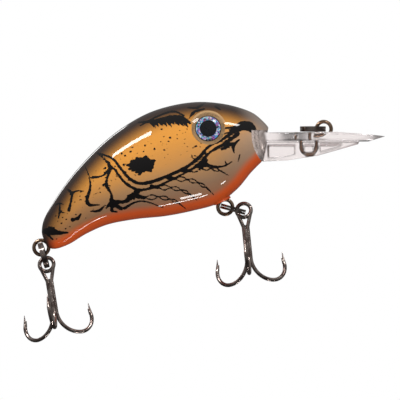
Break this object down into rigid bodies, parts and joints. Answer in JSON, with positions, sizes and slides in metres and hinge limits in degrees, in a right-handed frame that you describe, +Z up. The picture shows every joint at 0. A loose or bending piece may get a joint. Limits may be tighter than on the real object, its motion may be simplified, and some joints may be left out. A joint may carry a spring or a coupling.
{
  "type": "crankbait fishing lure",
  "caption": "Deep-diving crankbait: two-shell fish body with raised eyes, broad clear diving lip, wire line tie with split ring, and treble hooks hung on split rings at belly and tail.",
  "frame": {"origin": "centre of the line-tie wire eye on top of the diving lip", "axes": "+X forward along the body, tail to nose; +Y to the lure's left side; +Z up, to its back. The body is level, and the lip slopes down from the nose."},
  "size_m": [0.1047, 0.0268, 0.0527],
  "materials": {
    "painted_shell": "orange-gold paint under clear gloss, dark back, red-orange belly",
    "clear_plastic": "clear polycarbonate",
    "dark_wire": "black nickel wire",
    "ring_steel": "black nickel",
    "hook_steel": "black nickel",
    "iris_foil": "diffracting foil with a black pupil",
    "clear_lens": "clear domed resin",
    "ballast_metal": "cast",
    "ball_steel": "polished"
  },
  "bodies": {
    "lure_body": {"left_body_shell": "painted_shell", "right_body_shell": "painted_shell", "diving_lip": "clear_plastic", "line_tie_wire": "dark_wire", "belly_hook_hanger": "dark_wire", "tail_hook_hanger": "dark_wire", "left_iris_foil": "iris_foil", "right_iris_foil": "iris_foil", "left_eye_lens": "clear_lens", "right_eye_lens": "clear_lens", "belly_ballast": "ballast_metal"},
    "line_ring": {"line_tie_split_ring": "ring_steel"},
    "belly_ring": {"belly_split_ring": "ring_steel"},
    "belly_hook": {"belly_treble_double_hook": "hook_steel", "belly_treble_single_hook": "hook_steel"},
    "tail_ring": {"tail_split_ring": "ring_steel"},
    "tail_hook": {"tail_treble_double_hook": "hook_steel", "tail_treble_single_hook": "hook_steel"},
    "knocker": {"knocker_ball": "ball_steel"},
    "tail_rattle": {"tail_rattle_ball": "ball_steel"},
    "tube_rattle": {"tube_rattle_ball": "ball_steel"}
  },
  "joints": [
    {"name": "line_ring_swing", "type": "hinge", "parent": "lure_body", "child": "line_ring", "pos_m": [0, 0, 0], "axis": [0, 1, 0], "range_deg": [0, 170]},
    {"name": "belly_ring_swing", "type": "hinge", "parent": "lure_body", "child": "belly_ring", "pos_m": [-0.03123, 0, -0.00724], "axis": [0, 1, 0], "range_deg": [-32, 35]},
    {"name": "belly_hook_swing", "type": "hinge", "parent": "belly_ring", "child": "belly_hook", "pos_m": [-0.02746, 0, -0.01047], "axis": [0, 1, 0], "range_deg": [-45, 35]},
    {"name": "tail_ring_swing", "type": "hinge", "parent": "lure_body", "child": "tail_ring", "pos_m": [-0.07805, 0, 0.00344], "axis": [0, 1, 0], "range_deg": [-30, 105]},
    {"name": "tail_hook_swing", "type": "hinge", "parent": "tail_ring", "child": "tail_hook", "pos_m": [-0.07879, 0, -0.00146], "axis": [0, 1, 0], "range_deg": [-25, 45]},
    {"name": "knocker_slide", "type": "slide", "parent": "lure_body", "child": "knocker", "axis": [0, 1, 0], "range_m": [-0.0048, 0.0048]},
    {"name": "tail_rattle_slide", "type": "slide", "parent": "lure_body", "child": "tail_rattle", "axis": [0, 1, 0], "range_m": [-0.0035, 0.0035]},
    {"name": "tube_rattle_slide", "type": "slide", "parent": "lure_body", "child": "tube_rattle", "axis": [1, 0, 0], "range_m": [-0.0034, 0.0034]}
  ]
}
